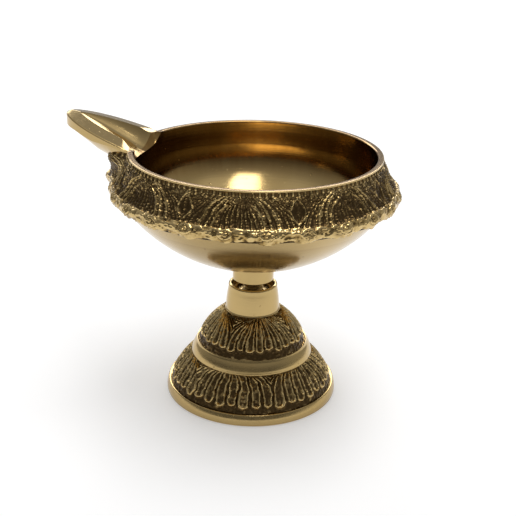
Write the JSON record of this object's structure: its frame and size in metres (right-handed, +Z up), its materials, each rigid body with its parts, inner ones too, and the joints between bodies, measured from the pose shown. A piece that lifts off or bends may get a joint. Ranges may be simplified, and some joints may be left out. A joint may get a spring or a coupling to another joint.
{
  "type": "diya oil lamp",
  "caption": "Cast brass oil lamp: round bowl with a beaked wick spout and a petal relief band, on a domed petal foot it screws into.",
  "frame": {"origin": "centre of the foot's underside", "axes": "+Z up along the lamp's axis, the wick spout points along -X, the foot's underside faces -Z"},
  "size_m": [0.0949, 0.0798, 0.079],
  "materials": {
    "stand_brass": "cast and turned, polished bands with dark patina in the relief",
    "stud_brass": "cut thread, dull",
    "bowl_brass": "turned and polished, dark patina in the relief band"
  },
  "bodies": {
    "stand": {"stand": "stand_brass"},
    "stud": {"stud": "stud_brass"},
    "bowl": {"bowl": "bowl_brass"}
  },
  "joints": [
    {"name": "stud_lift", "type": "slide", "parent": "stand", "child": "stud", "axis": [0, 0, 1], "range_m": [-0.0034, 0.008]},
    {"name": "bowl_turn", "type": "hinge", "parent": "stud", "child": "bowl", "pos_m": [0, 0, 0.036], "axis": [0, 0, 1], "range_deg": [-1224, 2880]}
  ],
  "couplings": [
    {"joint": "stud_lift", "follows": "bowl_turn", "m_per_rad": 0.00015915}
  ]
}
